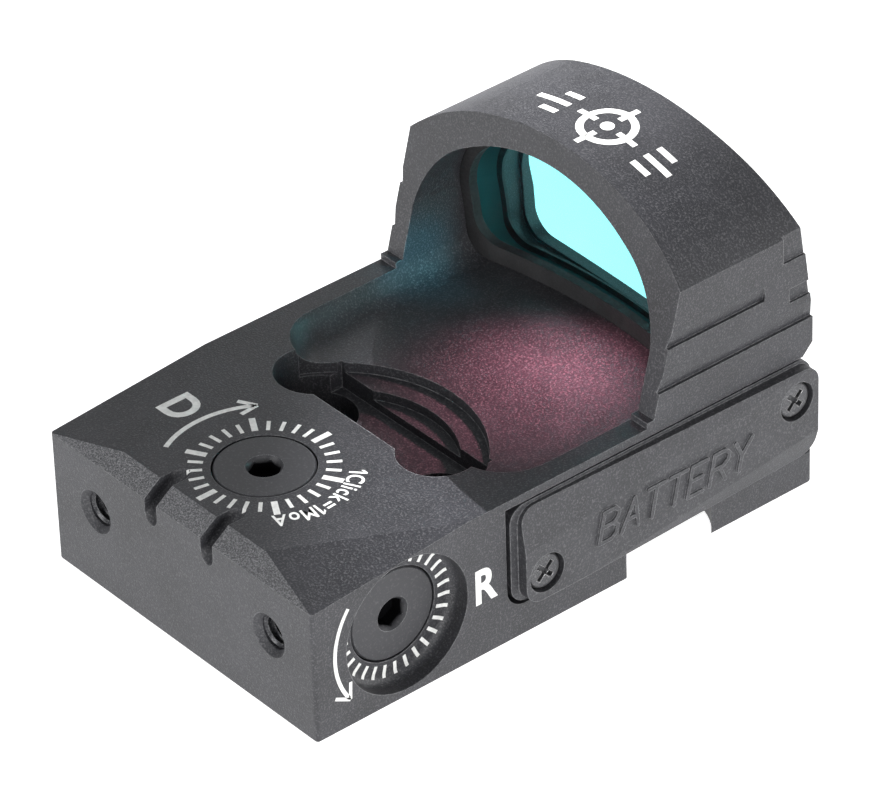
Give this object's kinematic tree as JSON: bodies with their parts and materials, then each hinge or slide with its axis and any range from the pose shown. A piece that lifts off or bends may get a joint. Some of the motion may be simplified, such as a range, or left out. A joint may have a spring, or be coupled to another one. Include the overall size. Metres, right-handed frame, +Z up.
{
  "type": "red dot finder",
  "caption": "Open reflex finder: arched hood with a tilted coated lens on a low base with click dials, a side battery tray, push buttons and screw holes.",
  "frame": {"origin": "centre of the base plane, under the middle of the base block", "axes": "+Y towards the target (lens end), +Z up through the hood, +X to the side with the windage dial and battery tray"},
  "size_m": [0.0294, 0.0442, 0.026],
  "materials": {
    "housing_metal": "matt black hard anodised, fine bead-blasted grain",
    "tray_metal": "matt black anodised",
    "dial_metal": "satin black anodised, faintly turned",
    "lens_glass": "clear glass with a cyan dichroic coating",
    "window_glass": "small flat cover glass",
    "seal_rubber": "black rubber",
    "button_rubber": "soft matt black rubber",
    "spring_steel": "bright spring steel",
    "screw_steel": "black oxide steel",
    "nut_brass": "machined brass",
    "emitter_plastic": "black moulded plastic",
    "diode_chip": "red diode chip",
    "board_laminate": "green solder mask",
    "chip_plastic": "black moulded packages",
    "cell_steel": "plain nickel-plated steel can",
    "contact_bronze": "plated spring bronze"
  },
  "bodies": {
    "housing": {"housing": "housing_metal", "lens": "lens_glass", "lens_seal": "seal_rubber", "lens_bed": "seal_rubber", "elevation_click_spring": "spring_steel", "windage_click_spring": "spring_steel", "guide_rod": "spring_steel", "carriage_spring": "spring_steel", "lift_spring": "spring_steel", "circuit_board": "board_laminate", "board_chips": "chip_plastic", "switch_bodies": "chip_plastic", "switch_dome_up": "spring_steel", "switch_dome_down": "spring_steel", "button_seals": "seal_rubber", "bottom_cover": "housing_metal", "cover_gasket": "seal_rubber", "cover_screws": "screw_steel", "edge_contact": "contact_bronze", "face_contact": "contact_bronze"},
    "elevation_dial": {"elevation_dial": "dial_metal", "elevation_o_ring": "seal_rubber", "elevation_clip": "spring_steel"},
    "windage_dial": {"windage_dial": "dial_metal", "windage_o_ring": "seal_rubber", "windage_clip": "spring_steel"},
    "elevation_nut": {"elevation_nut": "nut_brass"},
    "windage_carriage": {"windage_carriage": "nut_brass"},
    "emitter": {"emitter_block": "emitter_plastic", "emitter_diode": "diode_chip", "emitter_window": "window_glass"},
    "brightness_up_button": {"brightness_up_button": "button_rubber", "stem_clip_up": "spring_steel"},
    "brightness_down_button": {"brightness_down_button": "button_rubber", "stem_clip_down": "spring_steel"},
    "battery_tray": {"battery_tray": "tray_metal", "tray_gasket": "seal_rubber", "coin_cell": "cell_steel"},
    "tray_screw_rear": {"tray_screw_rear": "screw_steel"},
    "tray_screw_front": {"tray_screw_front": "screw_steel"}
  },
  "joints": [
    {"name": "elevation_turn", "type": "hinge", "parent": "housing", "child": "elevation_dial", "pos_m": [0, -0.01465, 0.0115], "axis": [0, 0, 1], "range_deg": [-724, 724]},
    {"name": "windage_turn", "type": "hinge", "parent": "housing", "child": "windage_dial", "pos_m": [0.01245, -0.01412, 0.00583], "axis": [1, 0, 0], "range_deg": [-724, 724]},
    {"name": "elevation_travel", "type": "slide", "parent": "housing", "child": "elevation_nut", "axis": [0, 0, 1], "range_m": [-0.0004, 0.0004], "deforming": ["lift_spring"]},
    {"name": "windage_travel", "type": "slide", "parent": "housing", "child": "windage_carriage", "axis": [1, 0, 0], "range_m": [-0.0004, 0.0004], "deforming": ["carriage_spring"]},
    {"name": "emitter_lift", "type": "slide", "parent": "windage_carriage", "child": "emitter", "axis": [0, 0, 1], "range_m": [-0.0004, 0.0004]},
    {"name": "brightness_up_press", "type": "slide", "parent": "housing", "child": "brightness_up_button", "axis": [1, 0, 0], "range_m": [0, 0.00028], "stiffness_N_per_m": 3000, "deforming": ["switch_dome_up"]},
    {"name": "brightness_down_press", "type": "slide", "parent": "housing", "child": "brightness_down_button", "axis": [1, 0, 0], "range_m": [0, 0.00028], "stiffness_N_per_m": 3000, "deforming": ["switch_dome_down"]},
    {"name": "tray_slide", "type": "slide", "parent": "housing", "child": "battery_tray", "axis": [1, 0, 0], "range_m": [0, 0.0225]},
    {"name": "tray_screw_rear_turn", "type": "hinge", "parent": "battery_tray", "child": "tray_screw_rear", "pos_m": [0.014, -0.00265, 0.0048], "axis": [1, 0, 0], "continuous": true},
    {"name": "tray_screw_front_turn", "type": "hinge", "parent": "battery_tray", "child": "tray_screw_front", "pos_m": [0.014, 0.01995, 0.00805], "axis": [1, 0, 0], "continuous": true}
  ],
  "couplings": [
    {"joint": "elevation_turn", "follows": "elevation_travel", "rad_per_m": 31416},
    {"joint": "emitter_lift", "follows": "elevation_travel", "ratio": 1},
    {"joint": "windage_turn", "follows": "windage_travel", "rad_per_m": 31416}
  ]
}
